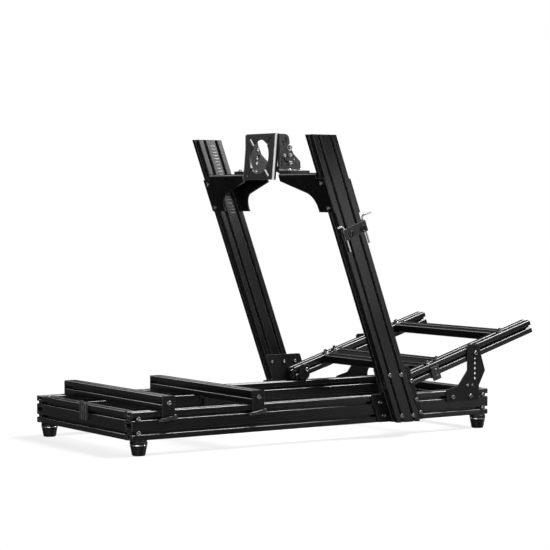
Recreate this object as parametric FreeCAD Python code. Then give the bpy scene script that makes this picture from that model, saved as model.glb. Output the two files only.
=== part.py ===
import FreeCAD, Part
import math
import os
from FreeCAD import Placement, Rotation, Vector

os.makedirs("parts", exist_ok=True)

# Slotted aluminium profile, millimetres
cell = 40.0
slot_opening = 8.2
slot_lip = 4.5
slot_inner = 20.0
slot_wall = 2.0
slot_floor = 8.0
slot_depth = 12.25
lip_chamfer = 1.3
corner_chamfer = 1.5
core_bore_d = 6.8
web_cavity_width = 17.0
web_cavity_end = 11.0
web_cavity_height = 31.0

# Base frame: two long rails with a cross beam between them at each end
base_length = 1270.0
base_width = 576.0

# Feet under the rail ends
foot_height = 32.5
foot_bottom_d = 35.0
foot_top_d = 47.0
foot_edge = 2.0
foot_rear_inset = 32.0
foot_front_inset = 24.5
collar_height = 11.0
collar_d = 46.0
collar_ring_d = 50.0
collar_ring_height = 7.0
collar_ring_edge = 1.2

# Seat bars across the rails, each held by a plate and a clamp lever at both ends
seat_bar_rear_y = 95.0
seat_bar_front_y = 394.0
seat_plate_thickness = 5.0
seat_plate_drop = 28.0
seat_plate_corner = 3.0
lever_offset_y = 32.0
lever_hub_d = 17.0
lever_hub_length = 15.0
lever_length = 52.0
lever_root_width = 12.0
lever_width = 10.0
lever_thickness = 7.0
lever_edge = 1.5
lever_angle = 8.0

# Uprights that carry the wheel, leaning back towards the seat
upright_from_front = 386.0
upright_lean = 20.0
upright_height = 855.0

# Plates between each rail and its upright
side_plate_thickness = 6.0
side_plate_rise = 85.0
side_plate_front = 47.0
side_plate_rear = 40.0
side_plate_step = 4.0
side_plate_clear = 0.0
side_plate_corner = 6.0

# Pedal deck: two sloping rails and two flat slotted bars across them
pedal_from_front = 357.0
pedal_low_rise = 24.0
pedal_angle = 17.0
pedal_rail_length = 558.0
pedal_bar_thickness = 26.0
pedal_bar_floor = 3.0
pedal_chamber_width = 26.0
pedal_chamber_height = 7.0
pedal_heel_bar_at = 160.0
pedal_top_bar_at = 447.0

# Plates that hold the pedal rails: pivots at the low ends and clamps beside the heel bar
pivot_at = 33.5
pivot_plate_thickness = 5.0
pivot_plate_length = 38.0
pivot_plate_clear = 4.0
pivot_plate_over = 19.0
pivot_plate_corner = 15.0
heel_clamp_thickness = 6.0
heel_clamp_length = 28.0
heel_clamp_before = 7.0
heel_clamp_below = 12.5
heel_clamp_hook = 14.0
heel_clamp_hook_height = 5.0
heel_clamp_short = 9.5

# Supports with a row of adjusting holes, which set the slope of the pedal deck
support_from_front = 166.0
support_thickness = 5.0
support_base_length = 127.0
support_base_drop = 35.0
support_heel_rise = 3.0
support_neck_y = 45.0
support_neck_rise = 14.0
support_column_y = 82.0
support_column_rise = 60.0
support_top_rise = 140.0
support_top_width = 42.0
support_belly_y = 151.0
support_belly_rise = 57.0
support_waist_rise = 12.0
support_corner = 8.0
support_hole_d = 8.5
support_hole_pitch = 15.6
support_hole_count = 7
support_hole_y = 112.0
support_hole_low_rise = 34.0

# Arms of folded plate that reach in from the uprights to the wheel mount
arm_top_z = 745.0
arm_thickness = 4.0
arm_bend = 7.0
arm_inner_x = 100.0
arm_tip_depth = 24.0
arm_leg_depth = 116.0
arm_leg_width = 76.0
arm_knee_depth = 70.0
arm_knee_radius = 50.0
arm_tab_drop = 17.0
arm_gap = 1.0

# Wheel mount: a folded plate that tilts between two side brackets
wheel_half_width = 84.5
wheel_plate_thickness = 6.0
wheel_bend = 8.0
wheel_plate_height = 140.0
wheel_plate_drop = 23.0
wheel_plate_setback = 51.2
wheel_plate_return = 11.0
wheel_pivot_ahead = 46.3
wheel_pivot_rise = 55.0
wheel_tilt = 5.0
wheel_hole_d = 104.0
wheel_slot_width = 7.0
wheel_slot_reach = 84.0
wheel_ear_low = 1.0
wheel_ear_reach = 85.0
wheel_ear_hip_reach = 80.0
wheel_ear_hip = 37.5
wheel_ear_waist_reach = 53.0
wheel_ear_waist = 61.0
wheel_ear_top_reach = 40.5
wheel_ear_top = 108.0
wheel_ear_corner = 5.0
wheel_ear_hole_d = 5.0
wheel_ear_hole_before = 6.5
wheel_ear_hole_rises = (8.0, 32.4, 48.3, 74.9)
wheel_window_before = 33.0
wheel_window_low = 21.0
wheel_window_high = 37.0
wheel_window_width = 10.0
wheel_bolt_d = 9.0

bracket_thickness = 5.0
bracket_flange_width = 73.5
bracket_flange_length = 66.0
bracket_flange_thickness = 8.5
bracket_bend = 6.0
bracket_root = 6.0
bracket_setback = 39.5
bracket_length = 81.0
bracket_height = 119.0
bracket_lip = 5.0
bracket_lip_clear = 16.0
bracket_top_length = 36.0
bracket_neck_length = 41.0
bracket_neck_rise = 88.0
bracket_waist_length = 53.5
bracket_waist_rise = 60.0
bracket_hip_length = 79.0
bracket_hip_rise = 36.5
bracket_top_corner = 16.0
bracket_corner = 4.0
bracket_arc_radius = 23.0
bracket_arc_width = 6.5
bracket_arc_from = 190.0
bracket_arc_to = 250.0
bracket_index_angles = (92.0, 274.0, 324.0)
bracket_index_d = 7.0
bracket_slot_width = 6.0
bracket_slot_length = 12.0
bracket_slot_y = 26.5
bracket_slot_rise = 101.0
bracket_small_hole_d = 6.0
bracket_small_hole_y = (15.5, 18.5)
bracket_small_hole_rises = (95.0, 87.0)

# Holder on the right upright with two hex keys in it
holder_at = 574.0
holder_height = 33.0
holder_thickness = 3.0
holder_ear = 14.0
holder_reach = 10.0
key_clear = 0.2
key_sizes = (6.0, 6.0)
key_long = (80.0, 84.0)
key_short = (20.0, 36.0)
key_above = (11.5, 13.7)
key_front_out = 4.0
key_bend = 1.5

# Clips for leads on the rear beam and inside the left rail
clip_plate = 3.0
clip_proud = 8.0
rear_clip_left_x = -13.0
rear_clip_width = 46.5
rear_clip_channel = 26.0
rear_clip_drop = 44.0
rear_clip_rise = 8.0
rear_clip_hook = 12.0
rail_clip_y = 549.0
rail_clip_width = 35.0
rail_clip_top = 50.0
rail_clip_low = 20.0
rail_clip_cap = 6.0
rail_clip_post = 12.0
rail_clip_thickness = 6.0

# Places that follow from the sizes above
rail_height = 2 * cell
rail_z = foot_height + collar_height
rail_top_z = rail_z + rail_height
rail_outer_x = base_width / 2
rail_inner_x = rail_outer_x - cell
upright_inner_x = rail_outer_x + side_plate_thickness
upright_outer_x = upright_inner_x + cell
upright_y = base_length - upright_from_front
pedal_low_y = base_length - pedal_from_front
lean = math.radians(upright_lean)
slope = math.radians(pedal_angle)
lean_up = Vector(0, -math.sin(lean), math.cos(lean))
lean_forward = Vector(0, math.cos(lean), math.sin(lean))
pedal_dir = Vector(0, math.cos(slope), math.sin(slope))
pedal_up = Vector(0, -math.sin(slope), math.cos(slope))
pedal_reach = pedal_low_y + pedal_rail_length * math.cos(slope) + cell / 2 * math.sin(slope)
overall_length = clip_proud + pedal_reach
rear_y = clip_proud - overall_length / 2
upper_slot_z = rail_z + rail_height * 3 / 4
arm_top = rail_z + arm_top_z

AXIS_X = Vector(1, 0, 0)
AXIS_Y = Vector(0, 1, 0)
AXIS_Z = Vector(0, 0, 1)
nodes = {}


def add(name, *solids):
    """Keep the solids of one named node."""
    nodes[name] = solids[0] if len(solids) == 1 else Part.makeCompound(list(solids))


def add_pair(name, right):
    """Keep a right-hand piece and its left-hand twin."""
    add(name + "_right", right)
    add(name + "_left", mirrored(right))


def at(y):
    """Model Y of a distance measured from the rear end of the base."""
    return rear_y + y


def mirrored(shape):
    """The left-hand twin of a right-hand piece."""
    return shape.mirror(Vector(0, 0, 0), AXIS_X)


def polygon_face(points):
    return Part.Face(Part.makePolygon(points + [points[0]]))


def slot_notch(centre):
    """Outline of one slot, as (along the face, depth below the face)."""
    half = slot_opening / 2
    inner = slot_inner / 2
    flat = slot_floor / 2
    side = [(half + lip_chamfer, 0), (half, lip_chamfer), (half, slot_lip), (inner, slot_lip),
            (inner, slot_lip + slot_wall), (flat, slot_depth)]
    rising = [(centre - u, d) for u, d in side]
    return rising + [(centre + u, d) for u, d in reversed(side)]


def profile_outline(width, height, slotted_sides):
    """Outline of a profile section centred on the XY origin; side 0 is the lower one, then anticlockwise."""
    corners = [Vector(-width / 2, -height / 2, 0), Vector(width / 2, -height / 2, 0),
               Vector(width / 2, height / 2, 0), Vector(-width / 2, height / 2, 0)]
    points = []
    for i, start in enumerate(corners):
        side = corners[(i + 1) % 4] - start
        length = side.Length
        along = side / length
        inward = Vector(-along.y, along.x, 0)
        run = [(corner_chamfer, 0)]
        if i in slotted_sides:
            for k in range(round(length / cell)):
                run += slot_notch((k + 0.5) * cell)
        run.append((length - corner_chamfer, 0))
        points += [start + along * u + inward * d for u, d in run]
    return polygon_face(points)


def profile_face(cells_v):
    """Section one cell wide, with slots on every side and a bore in every cell."""
    height = cells_v * cell
    face = profile_outline(cell, height, (0, 1, 2, 3))
    for j in range(cells_v):
        middle = Vector(0, (j + 0.5) * cell - height / 2, 0)
        face = face.cut(Part.Face(Part.Wire(Part.makeCircle(core_bore_d / 2, middle))))
    for j in range(1, cells_v):
        face = face.cut(web_cavity(j * cell - height / 2))
    return face


def web_cavity(v):
    """Closed hollow between two neighbouring cells."""
    a = web_cavity_width / 2
    b = web_cavity_end / 2
    h = web_cavity_height / 2
    outline = [(-h, -b), (0, -a), (h, -b), (h, b), (0, a), (-h, b)]
    return polygon_face([Vector(x, v + y, 0) for x, y in outline])


def flat_bar_face(cells):
    """Section of a flat pedal bar: slots in the top, a chamber under each slot."""
    width = cells * cell
    face = profile_outline(width, pedal_bar_thickness, (2,))
    low = -pedal_bar_thickness / 2 + pedal_bar_floor
    half = pedal_chamber_width / 2
    for k in range(cells):
        middle = (k + 0.5) * cell - width / 2
        corners = [(middle - half, low), (middle + half, low), (middle + half, low + pedal_chamber_height),
                   (middle - half, low + pedal_chamber_height)]
        face = face.cut(polygon_face([Vector(x, y, 0) for x, y in corners]))
    return face


def bar(face, length, start, axis_u, axis_v, along):
    """A length of a section that starts centred on a point."""
    solid = face.extrude(AXIS_Z * length)
    solid.Placement = Placement(start, Rotation(axis_u, axis_v, along, "ZXY"))
    return Part.Solid(solid.Solids[0])


def plate_x(points, x, thickness):
    """Flat plate with its outline in Y and Z, from x towards +X."""
    return polygon_face([Vector(x, y, z) for y, z in points]).extrude(AXIS_X * thickness)


def plate_y(points, y, depth):
    """Flat plate with its outline in X and Z, from y towards +Y."""
    return polygon_face([Vector(x, y, z) for x, z in points]).extrude(AXIS_Y * depth)


def edges_along(solid, axis):
    found = []
    for edge in solid.Edges:
        if abs(edge.tangentAt(edge.FirstParameter).dot(axis)) > 0.999:
            found.append(edge)
    return found


def rounded(solid, radius, axis):
    """Round every corner whose edge runs along an axis."""
    return solid.makeFillet(radius, edges_along(solid, axis))


def rounded_at(solid, radius, axis, *places):
    """Round the edges along an axis that pass nearest to the places."""
    picked = []
    for place in places:
        def away(edge):
            gap = edge.CenterOfMass - place
            return (gap - axis * gap.dot(axis)).Length
        picked.append(min(edges_along(solid, axis), key=away))
    return solid.makeFillet(radius, picked)


def hole_x(x, y, z, diameter, length):
    """Round cutter along +X."""
    return Part.makeCylinder(diameter / 2, length, Vector(x, y, z), AXIS_X)


def upright_rear_y(z):
    """Rear face of the uprights at a height."""
    return at(upright_y) - (z - rail_z) * math.tan(lean)


def upright_front_y(z):
    return upright_rear_y(z) + 2 * cell / math.cos(lean)


def make_base():
    for side, x in (("left", -rail_outer_x + cell / 2), ("right", rail_outer_x - cell / 2)):
        start = Vector(x, at(0), rail_z + rail_height / 2)
        add("base_rail_" + side, bar(profile_face(2), base_length, start, AXIS_X, -AXIS_Z, AXIS_Y))
    for end, y in (("rear", cell / 2), ("front", base_length - cell / 2)):
        start = Vector(-rail_inner_x, at(y), rail_z + rail_height / 2)
        add(end + "_cross_beam", bar(profile_face(2), 2 * rail_inner_x, start, AXIS_Y, AXIS_Z, AXIS_X))


def make_feet():
    collars = []
    for end, y in (("rear", foot_rear_inset), ("front", base_length - foot_front_inset)):
        for side, x in (("left", -rail_outer_x + cell / 2), ("right", rail_outer_x - cell / 2)):
            place = Vector(x, at(y), 0)
            foot = Part.makeCone(foot_bottom_d / 2, foot_top_d / 2, foot_height, place)
            foot = foot.makeFillet(foot_edge, [e for e in foot.Edges if e.BoundBox.ZMax < foot_edge])
            add("foot_" + end + "_" + side, foot)
            top = place + AXIS_Z * foot_height
            ring = Part.makeCylinder(collar_ring_d / 2, collar_ring_height, top)
            ring = ring.makeFillet(collar_ring_edge, [ring.Edges[0], ring.Edges[2]])
            collar = Part.makeCylinder(collar_d / 2, collar_height, top)
            collars.append(collar.fuse(ring).removeSplitter())
    add("foot_collars", *collars)


def clamp_lever(y):
    """Right-hand clamp lever in the rail's upper slot."""
    face_x = rail_outer_x + seat_plate_thickness
    hub = hole_x(face_x, at(y), upper_slot_z, lever_hub_d, lever_hub_length)
    turn = math.radians(lever_angle)
    back = Vector(0, -math.cos(turn), -math.sin(turn))
    side = Vector(0, -math.sin(turn), math.cos(turn))
    root = Vector(face_x + lever_hub_length - lever_thickness, at(y), upper_slot_z)
    tip = root + back * (lever_length - lever_width / 2)
    ends = [root + side * lever_root_width / 2, tip + side * lever_width / 2,
            tip - side * lever_width / 2, root - side * lever_root_width / 2]
    handle = polygon_face(ends).extrude(AXIS_X * lever_thickness)
    knob = hole_x(tip.x, tip.y, tip.z, lever_width, lever_thickness)
    lever = hub.fuse([handle, knob]).removeSplitter()
    outer = face_x + lever_hub_length
    return lever.makeFillet(lever_edge, [e for e in lever.Edges if e.BoundBox.XMin > outer - lever_edge])


def make_seat_bars():
    levers = []
    bar_z = rail_top_z + cell / 2
    for end, y in (("rear", seat_bar_rear_y), ("front", seat_bar_front_y)):
        start = Vector(-rail_outer_x, at(y + cell / 2), bar_z)
        add("seat_bar_" + end, bar(profile_face(1), base_width, start, AXIS_Y, AXIS_Z, AXIS_X))
        low = rail_top_z - seat_plate_drop
        top = rail_top_z + cell
        outline = [(at(y), low), (at(y + cell), low), (at(y + cell), top), (at(y), top)]
        plate = plate_x(outline, rail_outer_x, seat_plate_thickness)
        add_pair("seat_plate_" + end, rounded(plate, seat_plate_corner, AXIS_X))
        lever = clamp_lever(y + lever_offset_y)
        levers += [lever, mirrored(lever)]
    add("clamp_levers", *levers)


def make_uprights():
    spare = 2 * cell
    length = upright_height / math.cos(lean) + 2 * spare
    x = upright_inner_x + cell / 2
    start = Vector(x, at(upright_y) + cell / math.cos(lean), rail_z) - lean_up * spare
    whole = bar(profile_face(2), length, start, AXIS_X, lean_forward, lean_up)
    reach = overall_length
    keep = Part.makeBox(2 * cell, 2 * reach, upright_height, Vector(x - cell, -reach, rail_z))
    add_pair("upright", Part.Solid(whole.common(keep).Solids[0]))


def make_side_plates():
    low = rail_z + side_plate_clear
    step = rail_top_z + side_plate_step
    top = rail_top_z + side_plate_rise
    outline = [(upright_rear_y(low) - side_plate_rear, low), (upright_front_y(low) + side_plate_front, low),
               (upright_front_y(top) + side_plate_front, top), (upright_rear_y(top), top),
               (upright_rear_y(step), step), (upright_rear_y(step) - side_plate_rear, step)]
    plate = plate_x(outline, rail_outer_x, side_plate_thickness)
    add_pair("side_plate", rounded(plate, side_plate_corner, AXIS_X))


def pedal_point(distance, rise=0.0):
    """Middle of the pedal rails at a distance from their lower ends, and a rise square to them."""
    return Vector(0, at(pedal_low_y), rail_top_z + pedal_low_rise) + pedal_dir * distance + pedal_up * rise


def slope_box(x, distance, rise, width, length, height):
    """Box that follows the slope of the pedal rails."""
    box = Part.makeBox(width, length, height)
    box.Placement = Placement(pedal_point(distance, rise) + AXIS_X * x,
                              Rotation(AXIS_X, pedal_dir, pedal_up, "ZXY"))
    return box


def make_pedal_deck():
    for side, x in (("left", -rail_outer_x + cell / 2), ("right", rail_outer_x - cell / 2)):
        start = pedal_point(0) + AXIS_X * x
        rail = bar(profile_face(1), pedal_rail_length, start, AXIS_X, -pedal_up, pedal_dir)
        add("pedal_rail_" + side, rail)
    flush = (cell - pedal_bar_thickness) / 2
    for name, cells, distance in (("heel", 2, pedal_heel_bar_at), ("top", 1, pedal_top_bar_at)):
        start = pedal_point(distance, flush) - AXIS_X * rail_inner_x
        across = bar(flat_bar_face(cells), 2 * rail_inner_x, start, pedal_dir, pedal_up, AXIS_X)
        add("pedal_" + name + "_bar", across)


def make_pedal_plates():
    middle = pedal_point(pivot_at)
    low = rail_top_z + pivot_plate_clear
    top = middle.z + pivot_plate_over
    rear = middle.y - pivot_plate_length / 2
    front = middle.y + pivot_plate_length / 2
    outline = [(rear, low), (front, low), (front, top), (rear, top)]
    plate = plate_x(outline, rail_inner_x - pivot_plate_thickness, pivot_plate_thickness)
    add_pair("pivot_plate", rounded(plate, pivot_plate_corner, AXIS_X))

    rear = pedal_heel_bar_at - heel_clamp_before - heel_clamp_length / 2
    under = -cell / 2 - heel_clamp_below
    height = cell + heel_clamp_below - heel_clamp_short
    web = slope_box(rail_outer_x, rear, under, heel_clamp_thickness, heel_clamp_length, height)
    hook_low = -cell / 2 - heel_clamp_hook_height
    hook = slope_box(rail_outer_x - heel_clamp_hook, rear, hook_low, heel_clamp_hook, heel_clamp_length,
                     heel_clamp_hook_height)
    add_pair("heel_clamp", web.fuse(hook).removeSplitter())


def make_pedal_supports():
    y = at(base_length - support_from_front)
    low = rail_top_z - support_base_drop
    column = y + support_column_y
    top = rail_top_z + support_top_rise
    front = y + support_base_length
    outline = [(y, low), (front, low), (front, rail_top_z + support_waist_rise),
               (y + support_belly_y, rail_top_z + support_belly_rise), (column + support_top_width, top),
               (column, top), (column, rail_top_z + support_column_rise),
               (y + support_neck_y, rail_top_z + support_neck_rise), (y, rail_top_z + support_heel_rise)]
    plate = rounded(plate_x(outline, rail_outer_x, support_thickness), support_corner, AXIS_X)
    for i in range(support_hole_count):
        z = rail_top_z + support_hole_low_rise + i * support_hole_pitch
        plate = plate.cut(hole_x(rail_outer_x, y + support_hole_y, z, support_hole_d, support_thickness))
    add_pair("pedal_support", plate)


def upright_prism(low, top, x, width, wall):
    """Prism that stands on the uprights' footprint, grown by a wall in front and behind."""
    grow = wall / math.cos(lean)
    outline = [(upright_rear_y(low) - grow, low), (upright_front_y(low) + grow, low),
               (upright_front_y(top) + grow, top), (upright_rear_y(top) - grow, top)]
    return plate_x(outline, x, width)


def make_wheel_arms():
    low = arm_top - arm_leg_depth
    width = upright_outer_x - arm_inner_x
    grow = arm_thickness / math.cos(lean)
    outer = upright_prism(low, arm_top, arm_inner_x, width, arm_thickness)
    outer = rounded_at(outer, arm_bend, AXIS_X, Vector(0, upright_rear_y(arm_top) - grow, arm_top),
                       Vector(0, upright_front_y(arm_top) + grow, arm_top))
    ceiling = arm_top - arm_thickness
    hollow = upright_prism(low - cell, ceiling, arm_inner_x - cell, width + 2 * cell, 0)
    hollow = rounded_at(hollow, arm_bend - arm_thickness, AXIS_X,
                        Vector(0, upright_rear_y(ceiling), ceiling),
                        Vector(0, upright_front_y(ceiling), ceiling))
    leg = upright_outer_x - arm_leg_width
    knee = arm_top - arm_knee_depth
    outline = [(arm_inner_x, arm_top), (arm_inner_x, arm_top - arm_tip_depth), (leg, knee), (leg, low),
               (upright_outer_x, low), (upright_outer_x, arm_top - arm_tab_drop),
               (upright_inner_x - arm_gap, arm_top - arm_tab_drop), (upright_inner_x - arm_gap, arm_top)]
    skirt = plate_y(outline, -overall_length, 2 * overall_length)
    skirt = rounded_at(skirt, arm_knee_radius, AXIS_Y, Vector(leg, 0, knee))
    window = upright_prism(low - cell, arm_top + cell, upright_inner_x - arm_gap, 2 * cell, 0)
    add_pair("wheel_arm", outer.cut(hollow).common(skirt).cut(window))


def round_slot_x(x, length, start, end, width):
    """Cutter along +X for a straight slot with round ends between two (y, z) places."""
    a = Vector(x, *start)
    b = Vector(x, *end)
    run = b - a
    side = AXIS_X.cross(run) * (width / 2 / run.Length)
    body = polygon_face([a + side, b + side, b - side, a - side]).extrude(AXIS_X * length)
    return body.fuse([hole_x(x, *start, width, length), hole_x(x, *end, width, length)])


def arc_slot_x(x, length, centre, radius, width, start, end):
    """Cutter along +X for a curved slot with round ends about a (y, z) centre, angles from +Y to +Z."""
    middle = Vector(x, *centre)
    near = middle + AXIS_Y * (radius - width / 2)
    far = middle + AXIS_Y * (radius + width / 2)
    section = polygon_face([near, far, far + AXIS_X * length, near + AXIS_X * length])
    section.rotate(middle, AXIS_X, start)
    ring = section.revolve(middle, AXIS_X, end - start)
    ends = [ring_place(centre, radius, angle) for angle in (start, end)]
    return ring.fuse([hole_x(x, *place, width, length) for place in ends])


def ring_place(centre, radius, angle):
    turn = math.radians(angle)
    return (centre[0] + radius * math.cos(turn), centre[1] + radius * math.sin(turn))


def make_wheel_plate():
    pivot = Vector(0, upright_rear_y(arm_top) + wheel_pivot_ahead, arm_top + wheel_pivot_rise)
    rear = pivot.y - wheel_plate_setback
    low = arm_top - wheel_plate_drop
    top = low + wheel_plate_height
    half = wheel_half_width
    t = wheel_plate_thickness
    outer = Part.makeBox(2 * half, wheel_ear_reach, wheel_plate_height, Vector(-half, rear, low))
    outer = rounded_at(outer, wheel_bend, AXIS_Z, Vector(-half, rear, 0), Vector(half, rear, 0))
    inside = half - t
    inner = Part.makeBox(2 * inside, wheel_ear_reach, wheel_plate_height, Vector(-inside, rear + t, low))
    inner = rounded_at(inner, wheel_bend - t, AXIS_Z, Vector(-inside, rear + t, 0),
                       Vector(inside, rear + t, 0))
    strip = [(rear, low), (rear + wheel_plate_return, low), (rear + wheel_plate_return, top), (rear, top)]
    ear = [(rear, arm_top + wheel_ear_low), (rear + wheel_ear_reach, arm_top + wheel_ear_low),
           (rear + wheel_ear_hip_reach, arm_top + wheel_ear_hip),
           (rear + wheel_ear_waist_reach, arm_top + wheel_ear_waist),
           (rear + wheel_ear_top_reach, arm_top + wheel_ear_top), (rear, arm_top + wheel_ear_top)]
    ears = rounded(plate_x(ear, -half, 2 * half), wheel_ear_corner, AXIS_X)
    plate = outer.cut(inner).common(ears.fuse(plate_x(strip, -half, 2 * half)))
    middle = Vector(0, rear, low + wheel_plate_height / 2)
    plate = plate.cut(Part.makeCylinder(wheel_hole_d / 2, t, middle, AXIS_Y))
    straight = wheel_slot_reach - wheel_slot_width / 2
    for quarter in range(4):
        slot = Part.makeBox(straight, t, wheel_slot_width, middle - AXIS_Z * wheel_slot_width / 2)
        slot = slot.fuse(Part.makeCylinder(wheel_slot_width / 2, t, middle + AXIS_X * straight, AXIS_Y))
        slot.rotate(middle, AXIS_Y, 45 + 90 * quarter)
        plate = plate.cut(slot)
    hole_y = pivot.y - wheel_ear_hole_before
    for rise in wheel_ear_hole_rises:
        plate = plate.cut(hole_x(-half, hole_y, arm_top + rise, wheel_ear_hole_d, 2 * half))
    plate = plate.cut(hole_x(-half, pivot.y, pivot.z, wheel_bolt_d, 2 * half))
    window = pivot.y - wheel_window_before
    plate = plate.cut(round_slot_x(-half, 2 * half, (window, arm_top + wheel_window_low),
                                   (window, arm_top + wheel_window_high), wheel_window_width))
    plate.rotate(pivot, AXIS_X, -wheel_tilt)
    add("wheel_plate", plate)


def make_wheel_brackets():
    pivot = (upright_rear_y(arm_top) + wheel_pivot_ahead, arm_top + wheel_pivot_rise)
    y = pivot[0] - bracket_setback
    t = bracket_thickness
    x = wheel_half_width
    top = arm_top + bracket_height
    tail = y + bracket_length
    neck = (y + bracket_neck_length, arm_top + bracket_neck_rise)
    waist = (y + bracket_waist_length, arm_top + bracket_waist_rise)
    hip = (y + bracket_hip_length, arm_top + bracket_hip_rise)
    outline = [(y, arm_top), (y, top), (y + bracket_top_length, top), neck, waist, hip, (tail, arm_top)]
    web = plate_x(outline, x, t)
    web = rounded_at(web, bracket_top_corner, AXIS_X, Vector(x, y + bracket_top_length, top))
    web = rounded_at(web, bracket_corner, AXIS_X, Vector(x, *neck), Vector(x, *waist), Vector(x, *hip))
    web = web.cut(hole_x(x, *pivot, wheel_bolt_d, t))
    web = web.cut(arc_slot_x(x, t, pivot, bracket_arc_radius, bracket_arc_width, bracket_arc_from,
                             bracket_arc_to))
    for angle in bracket_index_angles:
        web = web.cut(hole_x(x, *ring_place(pivot, bracket_arc_radius, angle), bracket_index_d, t))
    slot_low = (y + bracket_slot_y, arm_top + bracket_slot_rise - bracket_slot_length / 2)
    slot_high = (y + bracket_slot_y, arm_top + bracket_slot_rise + bracket_slot_length / 2)
    web = web.cut(round_slot_x(x, t, slot_low, slot_high, bracket_slot_width))
    window = pivot[0] - wheel_window_before
    web = web.cut(round_slot_x(x, t, (window, arm_top + wheel_window_low),
                               (window, arm_top + wheel_window_high), wheel_window_width))
    for along, rise in zip(bracket_small_hole_y, bracket_small_hole_rises):
        web = web.cut(hole_x(x, y + along, arm_top + rise, bracket_small_hole_d, t))
    flange = Part.makeBox(bracket_flange_width, bracket_flange_length, bracket_flange_thickness,
                          Vector(x, y, arm_top))
    lip_height = bracket_height - bracket_lip_clear
    lip = Part.makeBox(t + bracket_lip, t, lip_height, Vector(x, y, arm_top + bracket_lip_clear))
    bracket = web.fuse([flange, lip]).removeSplitter()
    bracket = rounded_at(bracket, bracket_bend, AXIS_Y, Vector(x, 0, arm_top))
    bracket = rounded_at(bracket, bracket_root, AXIS_Y, Vector(x + t, 0, arm_top + bracket_flange_thickness))
    add_pair("wheel_bracket", bracket)


def holder_frame(forward, rise):
    """Place on the middle line of the right upright beside the holder, moved along and across its lean."""
    z = rail_z + holder_at
    middle = Vector(upright_inner_x + cell / 2, (upright_rear_y(z) + upright_front_y(z)) / 2, z)
    return middle + lean_forward * forward + lean_up * rise


def key_places():
    """Long arm of each hex key as (x, forward of the middle line, direction of the short arm)."""
    beside = upright_outer_x + holder_reach / 2
    before = cell + holder_thickness + key_front_out
    return [(beside, holder_ear / 2 - cell, -1),
            (upright_outer_x - key_front_out, before, 1)]


def hex_key(size, long, short, above, x, forward, way):
    """L-shaped key of hexagonal bar, its long arm along the upright."""
    top = holder_frame(forward, holder_height / 2 + above)
    top.x = x
    across = size / math.cos(math.radians(30)) / 2
    bend = key_bend * size
    foot = top - lean_up * long
    toe = top + lean_forward * way * short
    turn_from = top - lean_up * bend
    turn_to = top + lean_forward * way * bend
    centre = turn_from + lean_forward * way * bend
    mid = centre + (top - centre).normalize() * bend
    path = Part.Wire([Part.LineSegment(foot, turn_from).toShape(),
                      Part.Arc(turn_from, mid, turn_to).toShape(),
                      Part.LineSegment(turn_to, toe).toShape()])
    ring = []
    for k in range(6):
        turn = math.radians(60 * k + 30)
        ring.append(foot + AXIS_X * (across * math.cos(turn)) + lean_forward * (across * math.sin(turn)))
    section = Part.makePolygon(ring + [ring[0]])
    return path.makePipeShell([section], True, False)


def make_tool_holder():
    t = holder_thickness
    outer = Part.makeBox(cell / 2 + t, 2 * cell + t, holder_height, Vector(0, -cell, 0))
    inner = Part.makeBox(cell / 2, 2 * cell, holder_height, Vector(0, -cell, 0))
    places = key_places()
    side_ear = Part.makeBox(holder_reach, holder_ear, holder_height,
                            Vector(cell / 2, places[0][1] - holder_ear / 2, 0))
    front_ear = Part.makeBox(cell / 2 + t, holder_ear / 2 + key_front_out, holder_height, Vector(0, cell, 0))
    band = outer.fuse([side_ear, front_ear]).cut(inner).removeSplitter()
    band.Placement = Placement(holder_frame(0, -holder_height / 2),
                               Rotation(AXIS_X, lean_forward, lean_up, "ZXY"))
    keys = []
    for i, (x, forward, way) in enumerate(places):
        size = key_sizes[i]
        keys.append(hex_key(size, key_long[i], key_short[i], key_above[i], x, forward, way))
        start = holder_frame(forward, -holder_height)
        start.x = x
        bore = size / 2 / math.cos(math.radians(30)) + key_clear
        band = band.cut(Part.makeCylinder(bore, 2 * holder_height, start, lean_up))
    add("tool_holder", band)
    add("hex_keys", *keys)


def make_clips():
    x = rear_clip_left_x
    low = rail_top_z - rear_clip_drop
    top = rail_top_z + clip_plate
    plate = Part.makeBox(rear_clip_width, clip_plate, top - low, Vector(x, at(-clip_plate), low))
    tab = Part.makeBox(rear_clip_width - rear_clip_channel, clip_plate, rear_clip_rise,
                       Vector(x, at(-clip_plate), rail_top_z))
    wall_x = x + rear_clip_width - rear_clip_channel
    walls = [Part.makeBox(clip_plate, clip_proud, top - low, Vector(wall_x, at(-clip_proud), low)),
             Part.makeBox(clip_plate, clip_proud, top - low,
                          Vector(x + rear_clip_width - clip_plate, at(-clip_proud), low))]
    hook = Part.makeBox(rear_clip_width - rear_clip_channel, rear_clip_hook + clip_plate, clip_plate,
                        Vector(x, at(-clip_plate), rail_top_z))
    add("rear_clip", plate.fuse(walls + [hook, tab]).removeSplitter())

    y = at(rail_clip_y)
    middle = y + rail_clip_width / 2
    shelf = rail_z + rail_clip_top - rail_clip_cap
    outline = [(y, rail_z + rail_clip_top), (y, shelf), (middle - rail_clip_post / 2, shelf),
               (middle - rail_clip_post / 2, rail_z + rail_clip_low),
               (middle + rail_clip_post / 2, rail_z + rail_clip_low), (middle + rail_clip_post / 2, shelf),
               (y + rail_clip_width, shelf), (y + rail_clip_width, rail_z + rail_clip_top)]
    add("rail_clip", plate_x(outline, -rail_inner_x, rail_clip_thickness))


make_base()
make_feet()
make_seat_bars()
make_uprights()
make_side_plates()
make_pedal_deck()
make_pedal_plates()
make_pedal_supports()
make_wheel_arms()
make_wheel_plate()
make_wheel_brackets()
make_tool_holder()
make_clips()

# The holder stands proud on the right only, so the overall box is centred by moving everything left
for name, shape in nodes.items():
    shape.translate(Vector(-holder_reach / 2, 0, 0))
    shape.exportStep("parts/" + name + ".step")
    print(name, len(shape.Solids), shape.isValid(), round(shape.Volume), shape.BoundBox)
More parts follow.
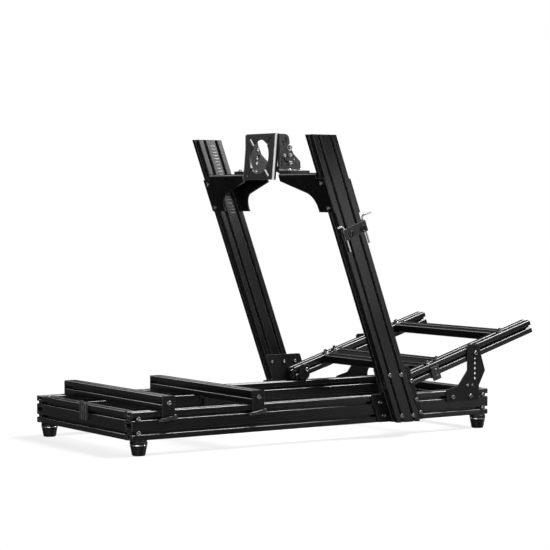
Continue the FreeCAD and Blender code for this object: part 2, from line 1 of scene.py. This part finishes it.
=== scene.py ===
import math
import bmesh
import bpy
from mathutils import Matrix, Vector


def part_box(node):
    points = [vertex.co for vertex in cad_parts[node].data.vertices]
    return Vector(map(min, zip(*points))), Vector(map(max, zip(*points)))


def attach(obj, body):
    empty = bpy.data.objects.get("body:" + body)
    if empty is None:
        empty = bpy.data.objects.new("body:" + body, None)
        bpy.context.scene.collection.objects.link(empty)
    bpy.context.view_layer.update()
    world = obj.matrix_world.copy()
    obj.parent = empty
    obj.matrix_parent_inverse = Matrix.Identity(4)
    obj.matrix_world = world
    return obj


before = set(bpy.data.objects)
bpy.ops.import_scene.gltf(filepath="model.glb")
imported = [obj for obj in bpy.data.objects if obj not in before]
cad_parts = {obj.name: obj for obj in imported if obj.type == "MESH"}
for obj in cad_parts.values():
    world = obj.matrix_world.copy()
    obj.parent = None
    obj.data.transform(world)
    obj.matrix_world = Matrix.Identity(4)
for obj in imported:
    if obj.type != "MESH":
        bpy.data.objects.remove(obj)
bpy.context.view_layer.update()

# Places are in millimetres: X from the middle plane, Y from the rear end of the base
# and Z from the bottom of its rails
MM = 0.001
AXIS_X = Vector((1, 0, 0))
AXIS_Y = Vector((0, 1, 0))
AXIS_Z = Vector((0, 0, 1))
SIDES = (1, -1)
rail_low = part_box("base_rail_left")[0]
rail_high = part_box("base_rail_right")[1]
ORIGIN = Vector(((rail_low.x + rail_high.x) / 2, rail_low.y, rail_low.z))


def place(x, y, z):
    """Point of the frame, in metres, from a place in millimetres."""
    return ORIGIN + Vector((x, y, z)) * MM


def lowest(node):
    return (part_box(node)[0] - ORIGIN) / MM


def highest(node):
    return (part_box(node)[1] - ORIGIN) / MM


def middle_y(node):
    return (lowest(node).y + highest(node).y) / 2


# Slotted profile of square cells: the base rails are two cells high and the seat bars lie on them
CELL = 40.0
LOWER_SLOT_Z = CELL / 2
UPPER_SLOT_Z = CELL * 3 / 2
SEAT_BAR_Z = CELL * 5 / 2

# The uprights lean back and the pedal rails slope up
LEAN = math.radians(20.0)
LEAN_UP = Vector((0, -math.sin(LEAN), math.cos(LEAN)))
LEAN_FORWARD = Vector((0, math.cos(LEAN), math.sin(LEAN)))
SLOPE = math.radians(17.0)
PEDAL_ALONG = Vector((0, math.cos(SLOPE), math.sin(SLOPE)))
PEDAL_UP = Vector((0, -math.sin(SLOPE), math.cos(SLOPE)))

# Where the faces that carry fasteners lie
BASE_LENGTH = highest("base_rail_right").y
RAIL_X = highest("base_rail_right").x
SEAT_PLATE_X = highest("seat_plate_rear_right").x
SIDE_PLATE_X = highest("side_plate_right").x
UPRIGHT_IN_X = lowest("upright_right").x
UPRIGHT_OUT_X = highest("upright_right").x
UPRIGHT_MIDDLE_Y = highest("upright_right").y - CELL / math.cos(LEAN)
PEDAL_LOW_END = lowest("pedal_rail_right")
PEDAL_LOW_Y = PEDAL_LOW_END.y + CELL / 2 * math.sin(SLOPE)
PEDAL_LOW_Z = PEDAL_LOW_END.z + CELL / 2 * math.cos(SLOPE)
SUPPORT_X = highest("pedal_support_right").x
SUPPORT_Y = lowest("pedal_support_right").y
HEEL_CLAMP_X = highest("heel_clamp_right").x
PIVOT_PLATE_X = lowest("pivot_plate_right").x
ARM_THICKNESS = 4.0
ARM_TOP_Z = highest("wheel_arm_right").z
FLANGE_THICKNESS = 8.5
FLANGE_TOP_Z = ARM_TOP_Z + FLANGE_THICKNESS
BRACKET_THICKNESS = 5.0
BRACKET_OUT_X = lowest("wheel_bracket_right").x + BRACKET_THICKNESS
WHEEL_PLATE_THICKNESS = 6.0
WHEEL_EAR_IN_X = highest("wheel_plate").x - WHEEL_PLATE_THICKNESS
HOLDER_THICKNESS = 3.0
HOLDER_X = UPRIGHT_OUT_X + HOLDER_THICKNESS


def on_upright(x, forward, z):
    """Point at a height on an upright, forward of its middle line by a distance square to it."""
    return place(x, UPRIGHT_MIDDLE_Y - z * math.tan(LEAN) + forward / math.cos(LEAN), z)


def on_pedals(x, along, rise):
    """Point along a pedal rail from its low end, risen square to its middle line."""
    spot = Vector((0, PEDAL_LOW_Y, PEDAL_LOW_Z)) + PEDAL_ALONG * along + PEDAL_UP * rise
    return place(x, spot.y, spot.z)


# Materials


def grey(tone, blue=1.0):
    return (tone, tone, tone * blue, 1.0)


class Shader:
    """A material's node tree, with short calls for the few nodes that the finishes use."""

    def __init__(self, name):
        self.material = bpy.data.materials.new(name)
        self.material.use_nodes = True
        self.nodes = self.material.node_tree.nodes
        self.links = self.material.node_tree.links
        self.bsdf = self.nodes["Principled BSDF"]
        self.coords = self.nodes.new("ShaderNodeTexCoord").outputs["Object"]

    def set(self, **values):
        for name, value in values.items():
            self.bsdf.inputs[name.replace("_", " ")].default_value = value

    def drive(self, name, socket):
        self.links.new(socket, self.bsdf.inputs[name])

    def stretched(self, along, across_scale, along_scale):
        """Coordinates turned so that Z runs along a direction, then scaled."""
        turn = self.nodes.new("ShaderNodeMapping")
        turn.inputs["Rotation"].default_value = along.rotation_difference(AXIS_Z).to_euler()
        self.links.new(self.coords, turn.inputs["Vector"])
        scale = self.nodes.new("ShaderNodeMapping")
        scale.inputs["Scale"].default_value = (across_scale, across_scale, along_scale)
        self.links.new(turn.outputs["Vector"], scale.inputs["Vector"])
        return scale.outputs["Vector"]

    def noise(self, scale, detail=3.0, vector=None):
        node = self.nodes.new("ShaderNodeTexNoise")
        node.inputs["Scale"].default_value = scale
        node.inputs["Detail"].default_value = detail
        self.links.new(self.coords if vector is None else vector, node.inputs["Vector"])
        return node.outputs["Fac"]

    def spread(self, socket, from_low, from_high, low, high):
        """One range of values carried over to another."""
        node = self.nodes.new("ShaderNodeMapRange")
        ends = {"From Min": from_low, "From Max": from_high, "To Min": low, "To Max": high}
        for name, value in ends.items():
            node.inputs[name].default_value = value
        self.links.new(socket, node.inputs["Value"])
        return node.outputs["Result"]

    def vary(self, noise, low, high):
        """The range that a noise mostly keeps to, carried over to low and high."""
        return self.spread(noise, 0.3, 0.7, low, high)

    def combine(self, operation, a, b):
        node = self.nodes.new("ShaderNodeMath")
        node.operation = operation
        self.links.new(a, node.inputs[0])
        self.links.new(b, node.inputs[1])
        return node.outputs["Value"]

    def mix(self, factor, a, b):
        node = self.nodes.new("ShaderNodeMix")
        node.data_type = "RGBA"
        self.links.new(factor, node.inputs["Factor"])
        for socket, value in ((node.inputs["A"], a), (node.inputs["B"], b)):
            if isinstance(value, tuple):
                socket.default_value = value
            else:
                self.links.new(value, socket)
        return node.outputs["Result"]

    def grey_mix(self, factor, low, high):
        """Slightly cool grey between two tones."""
        cool = 1.03
        return self.mix(factor, grey(low, cool), grey(high, cool))

    def rounded(self, radius):
        """Normal as if the edges were rounded to a radius."""
        bevel = self.nodes.new("ShaderNodeBevel")
        bevel.samples = 6
        bevel.inputs["Radius"].default_value = radius
        return bevel.outputs["Normal"]

    def edges(self, radius, sharpest):
        """How near a surface point is to a convex edge, 0 to 1."""
        flat = self.nodes.new("ShaderNodeNewGeometry")
        dot = self.nodes.new("ShaderNodeVectorMath")
        dot.operation = "DOT_PRODUCT"
        self.links.new(self.rounded(radius), dot.inputs[0])
        self.links.new(flat.outputs["Normal"], dot.inputs[1])
        return self.spread(dot.outputs["Value"], 0.995, sharpest, 0.0, 1.0)

    def bends(self):
        """How far a surface point is turned between facing fore or aft and facing sideways, 0 to 1."""
        parts = self.nodes.new("ShaderNodeSeparateXYZ")
        flat = self.nodes.new("ShaderNodeNewGeometry")
        self.links.new(flat.outputs["Normal"], parts.inputs["Vector"])
        turned = self.combine("MULTIPLY", parts.outputs["X"], parts.outputs["Y"])
        return self.spread(self.combine("MULTIPLY", turned, turned), 0.05, 0.2, 0.0, 1.0)

    def bump(self, height, strength, distance, rounding):
        node = self.nodes.new("ShaderNodeBump")
        node.inputs["Strength"].default_value = strength
        node.inputs["Distance"].default_value = distance
        self.links.new(height, node.inputs["Height"])
        self.links.new(self.rounded(rounding), node.inputs["Normal"])
        self.drive("Normal", node.outputs["Normal"])


def anodised(name, along, lip_wear_and_highlight, rounding):
    """Black anodised profile: drawing lines along its length; convex edges and slot lips lightened, partly
    edge wear and partly painted highlight.
    """
    shader = Shader(name)
    lengthwise = shader.stretched(along, across_scale=900.0, along_scale=9.0)
    streaks = shader.noise(scale=1.0, detail=4.0, vector=lengthwise)
    patches = shader.noise(scale=5.0)
    body = shader.grey_mix(shader.vary(streaks, 0.0, 1.0), 0.0035, 0.0070)
    wear = shader.spread(patches, 0.25, 0.6, 0.5, 1.0)
    # Painted highlight and wear: convex edges and slot lips lightened in patches to the lip tone.
    edge_wear_and_highlight = shader.combine("MULTIPLY", shader.edges(radius=0.0011, sharpest=0.80), wear)
    shader.drive("Base Color", shader.mix(edge_wear_and_highlight, body, grey(lip_wear_and_highlight)))
    fine = shader.vary(streaks, 0.21, 0.28)
    shader.drive("Roughness", shader.combine("ADD", fine, shader.vary(patches, -0.03, 0.04)))
    shader.set(Specular_IOR_Level=0.45)
    shader.bump(streaks, strength=0.02, distance=0.00005, rounding=rounding)
    return shader.material


def coated(name, tones, edge, bend_highlight=None, gloss=0.0):
    """Powder coat or moulded plastic: a fine orange-peel skin; edges lightened, partly wear and partly
    painted highlight, and bends lightened as a painted highlight.
    """
    shader = Shader(name)
    grain = shader.noise(scale=1400.0, detail=2.0)
    patches = shader.noise(scale=7.0)
    body = shader.grey_mix(shader.vary(patches, 0.0, 1.0), *tones)
    if bend_highlight is not None:
        # Painted highlight on rounded bends: surfaces turned between facing fore or aft and sideways are
        # lightened.
        body = shader.mix(shader.bends(), body, grey(bend_highlight))
    # Edges lightened: partly wear, partly painted highlight.
    edge_wear_and_highlight = shader.edges(radius=0.0009, sharpest=0.85)
    shader.drive("Base Color", shader.mix(edge_wear_and_highlight, body, grey(edge)))
    fine = shader.vary(grain, 0.36 - gloss, 0.48 - gloss)
    shader.drive("Roughness", shader.combine("ADD", fine, shader.vary(patches, -0.03, 0.04)))
    shader.set(Specular_IOR_Level=0.35)
    shader.bump(grain, strength=0.25, distance=0.00015, rounding=0.0007)
    return shader.material


def rubber(name):
    """Black rubber with a little dust."""
    shader = Shader(name)
    grain = shader.noise(scale=900.0)
    dust = shader.noise(scale=30.0, detail=4.0)
    shader.drive("Base Color", shader.grey_mix(shader.spread(dust, 0.45, 0.8, 0.0, 1.0), 0.005, 0.012))
    shader.drive("Roughness", shader.vary(grain, 0.30, 0.42))
    shader.set(Specular_IOR_Level=0.35)
    shader.bump(grain, strength=0.25, distance=0.0002, rounding=0.0008)
    return shader.material


def metal(name, tones, rough, grain_scale, edge):
    """Bare or blackened metal with a fine machined grain."""
    shader = Shader(name)
    grain = shader.noise(scale=grain_scale)
    patches = shader.noise(scale=60.0, detail=2.0)
    body = shader.grey_mix(shader.vary(patches, 0.0, 1.0), *tones)
    # Edges lightened: partly wear, partly painted highlight and glints.
    edge_wear_and_highlight = shader.edges(radius=0.0006, sharpest=0.82)
    shader.drive("Base Color", shader.mix(edge_wear_and_highlight, body, grey(edge)))
    shader.drive("Roughness", shader.vary(grain, *rough))
    shader.set(Metallic=1.0)
    shader.bump(grain, strength=0.08, distance=0.0001, rounding=0.0004)
    return shader.material


def ink(name):
    """Pale printed marks, thin in places."""
    shader = Shader(name)
    wear = shader.noise(scale=220.0)
    shader.drive("Base Color", shader.grey_mix(shader.spread(wear, 0.35, 0.65, 0.0, 1.0), 0.42, 0.62))
    shader.drive("Roughness", shader.vary(wear, 0.45, 0.6))
    return shader.material


# The lip tones are painted highlight as well as wear: light on the rails, uprights and pedal rails, near
# black on the cross bars.
profile_y = anodised("profile_along_base", AXIS_Y, lip_wear_and_highlight=0.34, rounding=0.0006)
profile_x = anodised("profile_across_base", AXIS_X, lip_wear_and_highlight=0.02, rounding=0.0002)
profile_lean = anodised("profile_along_uprights", LEAN_UP, lip_wear_and_highlight=0.30, rounding=0.0006)
profile_slope = anodised("profile_along_pedal_rails", PEDAL_ALONG, lip_wear_and_highlight=0.40, rounding=0.0006)
# Edge tones of the coats are partly wear and partly painted highlight; the wheel mount's bend tone is a
# painted highlight.
plate_coat = coated("black_powder_coat", tones=(0.003, 0.006), edge=0.18)
arm_coat = coated("wheel_arm_coat", tones=(0.003, 0.006), edge=0.18, gloss=0.16)
mount_coat = coated("wheel_mount_coat", tones=(0.008, 0.015), edge=0.26, bend_highlight=0.95)
holder_coat = coated("tool_holder_coat", tones=(0.014, 0.024), edge=0.70)
clip_plastic = coated("clip_plastic", tones=(0.024, 0.046), edge=0.40)
clamp_coat = coated("heel_clamp_coat", tones=(0.034, 0.052), edge=0.30)
foot_rubber = rubber("foot_rubber")
# Edge tones of the metals are partly wear and partly painted highlight and glints.
lever_metal = metal("lever_metal", tones=(0.10, 0.20), rough=(0.22, 0.34), grain_scale=500.0, edge=0.9)
collar_metal = metal("collar_metal", tones=(0.02, 0.04), rough=(0.30, 0.42), grain_scale=600.0, edge=0.2)
rim_metal = metal("foot_rim_metal", tones=(0.55, 0.68), rough=(0.16, 0.28), grain_scale=600.0, edge=0.8)
bolt_black = metal("black_oxide_bolts", tones=(0.22, 0.32), rough=(0.22, 0.34), grain_scale=900.0, edge=0.7)
# Near black as painted shade in the shallow recesses round the holder screws, with edges lightened as
# painted highlight.
recess_painted_shade = metal("recessed_screws", tones=(0.010, 0.018), rough=(0.30, 0.45), grain_scale=900.0,
                     edge=0.5)
key_steel = metal("bright_key_steel", tones=(0.38, 0.48), rough=(0.18, 0.30), grain_scale=700.0, edge=0.7)
scale_ink = ink("printed_scale_ink")

# Finish by the start of a node's name, the first match first; all other nodes are coated plate
finishes = {
    "base_rail": profile_y, "rear_cross_beam": profile_x, "front_cross_beam": profile_x,
    "seat_bar": profile_x, "pedal_heel_bar": profile_x, "pedal_top_bar": profile_x,
    "upright": profile_lean, "pedal_rail": profile_slope,
    "foot_collars": collar_metal, "foot_": foot_rubber,
    "clamp_levers": lever_metal, "hex_keys": key_steel, "tool_holder": holder_coat,
    "wheel_arm": arm_coat, "wheel_plate": mount_coat, "wheel_bracket": mount_coat,
    "heel_clamp": clamp_coat, "rear_clip": clip_plastic,
}


def finish_of(node):
    for start, material in finishes.items():
        if node.startswith(start):
            return material
    return plate_coat


for node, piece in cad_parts.items():
    if not piece.material_slots:
        piece.data.materials.append(None)
    for slot in piece.material_slots:
        slot.material = finish_of(node)


# Turned forms: rings of (radius, height, kind), each joined to the next
SMOOTH = "smooth"
SHARP = "sharp"
HEXAGON = "hexagon"


def rings_mesh(mesh, at, axis, rings, turn=0.0):
    """Closed turned form on a point; sharp rings and hexagons keep a crisp edge."""
    steps = 24
    out = axis.normalized()
    side = out.orthogonal().normalized()
    other = out.cross(side)
    loops = []
    for radius, height, kind in rings:
        loop = []
        for k in range(steps):
            angle = 2 * math.pi * k / steps
            reach = radius
            if kind == HEXAGON:
                reach = radius / math.cos((angle + math.pi / 6) % (math.pi / 3) - math.pi / 6)
            around = side * math.cos(angle + turn) + other * math.sin(angle + turn)
            loop.append(mesh.verts.new(at + (around * reach + out * height) * MM))
        loops.append(loop)
    for below, above in zip(loops, loops[1:]):
        for k in range(steps):
            face = mesh.faces.new((below[k], below[(k + 1) % steps], above[(k + 1) % steps], above[k]))
            face.smooth = True
    mesh.faces.new(list(reversed(loops[0])))
    mesh.faces.new(loops[-1])
    for loop, (radius, height, kind) in zip(loops, rings):
        if kind != SMOOTH:
            for k in range(steps):
                mesh.edges.get((loop[k], loop[(k + 1) % steps])).smooth = False


def piece_from(name, mesh, material):
    data = bpy.data.meshes.new(name)
    mesh.to_mesh(data)
    mesh.free()
    data.materials.append(material)
    piece = bpy.data.objects.new(name, data)
    bpy.context.scene.collection.objects.link(piece)
    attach(piece, "root")


# Fasteners
WASHER_HEIGHT = 1.6


def button_head(mesh, at, axis, size, turn):
    """Low domed head, dished round a hexagon socket; size is the thread."""
    radius = size * 0.88
    height = size * 0.5
    socket = size * 0.34
    rings = [(radius, 0, SHARP), (radius, height * 0.3, SMOOTH), (radius * 0.96, height * 0.66, SMOOTH),
             (radius * 0.87, height * 0.94, SMOOTH), (radius * 0.80, height, SHARP),
             (radius * 0.74, height * 0.98, SMOOTH), (socket * 1.25, height * 0.62, SHARP),
             (socket, height * 0.58, HEXAGON), (socket, height * 0.12, HEXAGON)]
    rings_mesh(mesh, at, axis, rings, turn)


def cap_head(mesh, at, axis, size, turn):
    """Tall cylindrical head with a chamfered rim and a hexagon socket; size is the thread."""
    radius = size * 0.81
    height = size
    socket = size * 0.39
    rings = [(radius, 0, SHARP), (radius, height * 0.88, SHARP), (radius * 0.9, height, SHARP),
             (socket * 1.16, height, SHARP), (socket, height, HEXAGON), (socket, height * 0.45, HEXAGON)]
    rings_mesh(mesh, at, axis, rings, turn)


def ring_boss(mesh, at, axis, size, turn):
    """Flanged screw set deep in its collar; size is the rim's radius."""
    inside = size * 0.72
    boss = size * 0.36
    socket = size * 0.2
    depth = size * 0.3
    rings = [(size, 0, SHARP), (size, depth * 0.7, SHARP), (size * 0.94, depth, SHARP),
             (inside, depth, SHARP), (inside * 0.97, depth * 0.1, SHARP),
             (boss, depth * 0.1, SHARP), (boss, depth * 0.35, SHARP),
             (socket, depth * 0.35, HEXAGON), (socket, depth * 0.12, HEXAGON)]
    rings_mesh(mesh, at, axis, rings, turn)


def washer(mesh, at, axis, radius):
    rings = [(radius, 0, SHARP), (radius, WASHER_HEIGHT * 0.7, SHARP),
             (radius * 0.95, WASHER_HEIGHT, SHARP)]
    rings_mesh(mesh, at, axis, rings)


def fasteners(name, head, size, spots, washer_radius=0.0, finish=bolt_black):
    """One piece of like fasteners from (point, axis) pairs, each turned a little differently."""
    turn_step = 0.7
    mesh = bmesh.new()
    for k, (at, axis) in enumerate(spots):
        base = at
        if washer_radius:
            washer(mesh, at, axis, washer_radius)
            base = at + axis.normalized() * WASHER_HEIGHT * MM
        head(mesh, base, axis, size, turn_step * k)
    bmesh.ops.recalc_face_normals(mesh, faces=mesh.faces)
    piece_from(name, mesh, finish)


def both_sides(x, spots, outward=True):
    """Right and left (point, axis) pairs on a face square to X, from (y, z) places."""
    found = []
    for sign in SIDES:
        axis = AXIS_X * (sign if outward else -sign)
        found += [(place(sign * x, y, z), axis) for y, z in spots]
    return found


base_ends = (CELL / 2, BASE_LENGTH - CELL / 2)
corner_spots = [(y, z) for y in base_ends for z in (UPPER_SLOT_Z, LOWER_SLOT_Z)]
fasteners("corner_bolts", button_head, 8.0, both_sides(RAIL_X, corner_spots))

seat_spots = [(middle_y(node), SEAT_BAR_Z) for node in ("seat_bar_rear", "seat_bar_front")]
fasteners("seat_plate_bolts", button_head, 8.0, both_sides(SEAT_PLATE_X, seat_spots))

upright_rows = (143.0, 19.0)
upright_spots = []
for sign in SIDES:
    for z in upright_rows:
        for forward in (-CELL / 2, CELL / 2):
            upright_spots.append((on_upright(sign * UPRIGHT_OUT_X, forward, z), AXIS_X * sign))
fasteners("upright_bolts", button_head, 8.0, upright_spots)

side_plate_spots = [(964, 118), (985, UPPER_SLOT_Z), (1001, LOWER_SLOT_Z), (847, UPPER_SLOT_Z),
                    (861, LOWER_SLOT_Z)]
fasteners("side_plate_bolts", button_head, 8.0, both_sides(SIDE_PLATE_X, side_plate_spots))
side_plate_inner_z = 142.0
side_plate_inner_spots = [(y, side_plate_inner_z) for y in (847, 894, 937)]
fasteners("side_plate_inner_bolts", button_head, 6.0,
          both_sides(RAIL_X, side_plate_inner_spots, outward=False))

support_spots = [(SUPPORT_Y + 112, 192), (SUPPORT_Y + 24, UPPER_SLOT_Z), (SUPPORT_Y + 93, UPPER_SLOT_Z)]
fasteners("support_bolts", button_head, 8.0, both_sides(SUPPORT_X, support_spots))
support_screw_z = 93.0
support_screw_spots = [(SUPPORT_Y + 81, support_screw_z), (SUPPORT_Y + 99, support_screw_z)]
fasteners("support_screws", button_head, 5.0, both_sides(SUPPORT_X, support_screw_spots))

arm_bolt_x = 312.0
arm_face = CELL + ARM_THICKNESS
arm_spots = []
for sign in SIDES:
    for drop in (31.0, 104.0):
        for way in (-1, 1):
            at = on_upright(sign * arm_bolt_x, way * arm_face, ARM_TOP_Z - drop)
            arm_spots.append((at, LEAN_FORWARD * way))
fasteners("arm_bolts", button_head, 8.0, arm_spots)

deck_spots = []
for sign in SIDES:
    for along in (145.0, 183.0, 447.0):
        deck_spots.append((on_pedals(sign * (RAIL_X - CELL / 2), along, CELL / 2), PEDAL_UP))
fasteners("deck_bolts", cap_head, 8.0, deck_spots, washer_radius=8.0)

flange_bolt_x = 132.0
flange_spots = []
for sign in SIDES:
    for y in (628.0, 666.0):
        flange_spots.append((place(sign * flange_bolt_x, y, FLANGE_TOP_Z), AXIS_Z))
fasteners("flange_bolts", button_head, 8.0, flange_spots, washer_radius=9.0)

wheel_tilt_spots = [(659.1, 800), (660.7, 777.1), (637, 799)]
fasteners("wheel_tilt_bolts", cap_head, 6.0, both_sides(BRACKET_OUT_X, wheel_tilt_spots), washer_radius=6.0)
wheel_lock_spots = [(659.5, 823)]
fasteners("wheel_lock_bolts", cap_head, 7.0, both_sides(BRACKET_OUT_X, wheel_lock_spots),
          washer_radius=10.0)
wheel_ear_spots = [(648.5, 753.7), (650.7, 778.1), (652.0, 793.9), (654.4, 820.4)]
fasteners("wheel_ear_screws", button_head, 5.0, both_sides(WHEEL_EAR_IN_X, wheel_ear_spots, outward=False))

heel_clamp_along = 153.0
heel_clamp_spots = []
for sign in SIDES:
    for rise in (0.0, -CELL / 2):
        heel_clamp_spots.append((on_pedals(sign * HEEL_CLAMP_X, heel_clamp_along, rise), AXIS_X * sign))
fasteners("heel_clamp_bolts", button_head, 4.0, heel_clamp_spots)

pivot_spots = [(952, 115)]
fasteners("pivot_plate_bolts", button_head, 8.0, both_sides(PIVOT_PLATE_X, pivot_spots, outward=False))

holder_spots = [(place(HOLDER_X, y, z), AXIS_X) for y, z in ((708.0, 567.0), (752.0, 582.0))]
fasteners("holder_bolts", ring_boss, 9.5, holder_spots, finish=recess_painted_shade)


# Feet: a rounded rubber boot over each cone and a bright rim round its top


def turned_feet(name, rings, material):
    """One piece of four like turned forms, one on each foot."""
    mesh = bmesh.new()
    for node in ("foot_rear_left", "foot_rear_right", "foot_front_left", "foot_front_right"):
        low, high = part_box(node)
        under = Vector(((low.x + high.x) / 2, (low.y + high.y) / 2, low.z))
        rings_mesh(mesh, under, AXIS_Z, rings)
    bmesh.ops.recalc_face_normals(mesh, faces=mesh.faces)
    piece_from(name, mesh, material)


boot_rings = [(15.0, 0.3, SMOOTH), (17.3, 0.5, SMOOTH), (18.4, 1.6, SMOOTH), (19.2, 4.0, SMOOTH),
              (20.0, 8.0, SMOOTH), (22.0, 18.0, SMOOTH), (23.7, 27.2, SHARP), (23.0, 28.0, SHARP)]
rim_rings = [(24.0, 27.8, SHARP), (24.8, 28.4, SMOOTH), (25.0, 29.6, SMOOTH), (24.8, 31.2, SMOOTH),
             (24.0, 32.0, SHARP), (22.0, 32.4, SHARP)]
turned_feet("foot_boots", boot_rings, foot_rubber)
turned_feet("foot_rims", rim_rings, rim_metal)


# Printed height scale on the inner faces of the uprights


def scale_marks(name, sign):
    """A row of ticks from under the upright's top down past the wheel arm."""
    count = 22
    pitch = 10.0
    top = 836.0
    forward = 3.0
    proud = 0.12
    length = 15.0
    thickness = 1.8
    mesh = bmesh.new()
    size = Matrix.Diagonal((proud * MM, length * MM, thickness * MM, 1))
    for k in range(count):
        at = on_upright(sign * (UPRIGHT_IN_X - proud / 2), forward, top - pitch * k)
        bmesh.ops.create_cube(mesh, size=1.0, matrix=Matrix.Translation(at) @ size)
    piece_from(name, mesh, scale_ink)


scale_marks("height_scale_left", -1)
scale_marks("height_scale_right", 1)


# Floor, in metres


def pale_floor(name, fade_start, fade_end, cover):
    """Pale floor that thins out to the white studio round the object."""
    shader = Shader(name)
    shader.drive("Base Color", shader.grey_mix(shader.noise(scale=0.8, detail=2.0), 0.86, 0.88))
    shader.set(Roughness=0.9, Specular_IOR_Level=0.1)
    distance = shader.nodes.new("ShaderNodeVectorMath")
    distance.operation = "LENGTH"
    shader.links.new(shader.coords, distance.inputs[0])
    shader.drive("Alpha", shader.spread(distance.outputs["Value"], fade_start, fade_end, cover, 0.0))
    return shader.material


def lay_floor(radius):
    """Round floor that catches the shadow and stays out of reflections."""
    mesh = bmesh.new()
    bmesh.ops.create_circle(mesh, cap_ends=True, segments=96, radius=radius)
    data = bpy.data.meshes.new("floor")
    mesh.to_mesh(data)
    mesh.free()
    floor = bpy.data.objects.new("floor", data)
    floor.visible_diffuse = False
    floor.visible_glossy = False
    bpy.context.scene.collection.objects.link(floor)
    data.materials.append(pale_floor("pale_floor", fade_start=0.9, fade_end=2.3, cover=0.22))


lay_floor(radius=2.4)


# World and lights, in metres


def studio_world(stops):
    """White behind the object; in reflections, tones by height from straight down, 0, to straight up, 1."""
    world = bpy.data.worlds.new("studio")
    world.use_nodes = True
    bpy.context.scene.world = world
    nodes = world.node_tree.nodes
    links = world.node_tree.links
    direction = nodes.new("ShaderNodeTexCoord")
    parts = nodes.new("ShaderNodeSeparateXYZ")
    links.new(direction.outputs["Generated"], parts.inputs["Vector"])
    height = nodes.new("ShaderNodeMapRange")
    height.inputs["From Min"].default_value = -1.0
    height.inputs["From Max"].default_value = 1.0
    links.new(parts.outputs["Z"], height.inputs["Value"])
    band = nodes.new("ShaderNodeValToRGB")
    while len(band.color_ramp.elements) < len(stops):
        band.color_ramp.elements.new(0.5)
    for element, (position, tone) in zip(band.color_ramp.elements, stops):
        element.position = position
        element.color = grey(tone, 1.02)
    links.new(height.outputs["Result"], band.inputs["Fac"])
    path = nodes.new("ShaderNodeLightPath")
    seen = nodes.new("ShaderNodeMix")
    seen.data_type = "RGBA"
    seen.inputs["B"].default_value = grey(1.0)
    links.new(band.outputs["Color"], seen.inputs["A"])
    links.new(path.outputs["Is Camera Ray"], seen.inputs["Factor"])
    links.new(seen.outputs["Result"], nodes["Background"].inputs["Color"])


def softbox(name, at, target, size, radiance, spread=180.0):
    """Soft light that the camera doesn't see; radiance is the brightness of its face."""
    width, height = size
    light = bpy.data.lights.new(name, "AREA")
    light.shape = "RECTANGLE"
    light.size = width
    light.size_y = height
    light.spread = math.radians(spread)
    light.energy = radiance * math.pi * width * height
    lamp = bpy.data.objects.new(name, light)
    lamp.location = at
    lamp.rotation_euler = (Vector(target) - Vector(at)).to_track_quat("-Z", "Y").to_euler()
    lamp.visible_camera = False
    bpy.context.scene.collection.objects.link(lamp)


# A grey band at the horizon, darker above and near black below
world_stops = [(0.0, 0.010), (0.36, 0.010), (0.42, 0.09), (0.47, 0.16), (0.51, 0.18), (0.54, 0.05),
               (1.0, 0.08)]
studio_world(world_stops)

softbox("top_box", (0.45, 1.7, 3.0), (0.1, 0.1, 0.3), (1.6, 1.9), 30.0)
softbox("left_box", (-2.6, -0.75, 1.95), (0, 0, 0.4), (1.9, 0.8), 4.5)
softbox("back_strip", (-3.3, 2.2, 0.34), (0, 0, 0.15), (1.8, 0.45), 0.8)
softbox("front_box", (1.9, -2.5, 1.0), (0, 0, 0.5), (2.0, 1.2), 7.0)
softbox("left_upright_glow", (0.75, 0.62, 1.04), (-0.30, -0.05, 0.98), (0.3, 0.58), 0.95, spread=60.0)
softbox("right_upright_glow", (1.5, 0.72, 0.55), (0.33, 0.0, 0.53), (0.4, 0.5), 0.5, spread=100.0)
softbox("forward_glow", (1.6, 1.4, 0.02), (0.29, 0.4, 0.02), (0.9, 0.36), 0.28, spread=120.0)

# Weak cards centred below the floor, for the dark faces to mirror when they are seen from above
low_cards = {
    "rear_card": (0, -4, -0.45), "front_card": (0, 4, -0.45), "right_card": (4, 0, -0.45),
    "left_card": (-4, 0.6, -0.45), "near_card": (2.8, -2.8, -1.3), "far_card": (-2.8, 2.8, -1.3),
    "forward_card": (2.2, 3.2, -1.4),
}
card_target = (0, 0, 0.2)
card_size = (2.0, 1.6)
card_radiance = 0.85
for name, at in low_cards.items():
    softbox(name, at, card_target, card_size, card_radiance)


# Camera at the photograph's viewing angle
photo_width_pixels = 550.0
focal_pixels = 1967.66
sensor_width = 36.0
yaw = math.radians(56.256)
pitch = math.radians(2.2026)
ahead = Vector((-math.sin(yaw) * math.cos(pitch), math.cos(yaw) * math.cos(pitch), -math.sin(pitch)))
camera = bpy.data.objects.new("camera", bpy.data.cameras.new("camera"))
camera.data.sensor_width = sensor_width
camera.data.lens = sensor_width * focal_pixels / photo_width_pixels
camera.data.clip_end = 200.0
camera.location = place(4999.28, -2673.51, 667.29)
camera.rotation_euler = ahead.to_track_quat("-Z", "Y").to_euler()
bpy.context.scene.collection.objects.link(camera)
bpy.context.scene.camera = camera
bpy.context.scene.view_settings.view_transform = "Standard"
